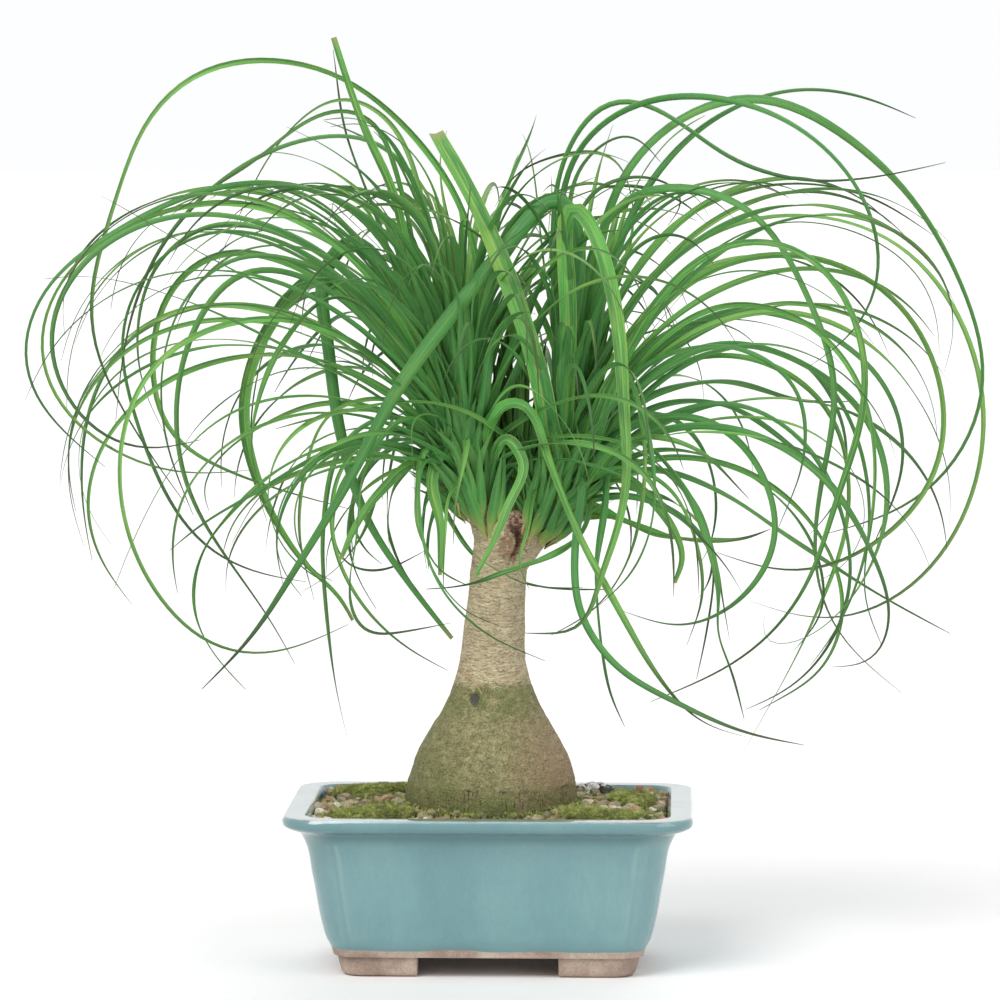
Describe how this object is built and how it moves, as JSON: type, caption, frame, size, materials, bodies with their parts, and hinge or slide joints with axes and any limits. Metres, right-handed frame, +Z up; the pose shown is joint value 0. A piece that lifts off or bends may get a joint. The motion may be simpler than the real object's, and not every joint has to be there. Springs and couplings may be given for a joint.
{
  "type": "potted ponytail palm",
  "caption": "Small ponytail palm with a swollen trunk and leafy heads of long arching strap leaves, in a low rectangular glazed bonsai pot with feet.",
  "frame": {"origin": "middle of the whole plant's outer box, on the plane that the pot's feet stand on", "axes": "+Z up, -Y towards the viewer of the picture, along the pot's short side, +X to the right along the pot's long side"},
  "size_m": [0.4864, 0.2356, 0.4642],
  "materials": {
    "celadon_glaze": "gloss",
    "mesh_plastic": "matte",
    "potting_soil": "matte",
    "grit": "matte",
    "moss_green": "matte",
    "caudex_bark": "matte",
    "leaf_green": "satin"
  },
  "bodies": {
    "root": {"pot": "celadon_glaze", "drain_screen_left": "mesh_plastic", "drain_screen_right": "mesh_plastic", "soil": "potting_soil", "top_dressing": "grit", "moss_front_left": "moss_green", "moss_front_right": "moss_green", "moss_back_left": "moss_green", "moss_right": "moss_green", "trunk": "caudex_bark", "left_head": "leaf_green", "right_head": "leaf_green"}
  },
  "joints": []
}
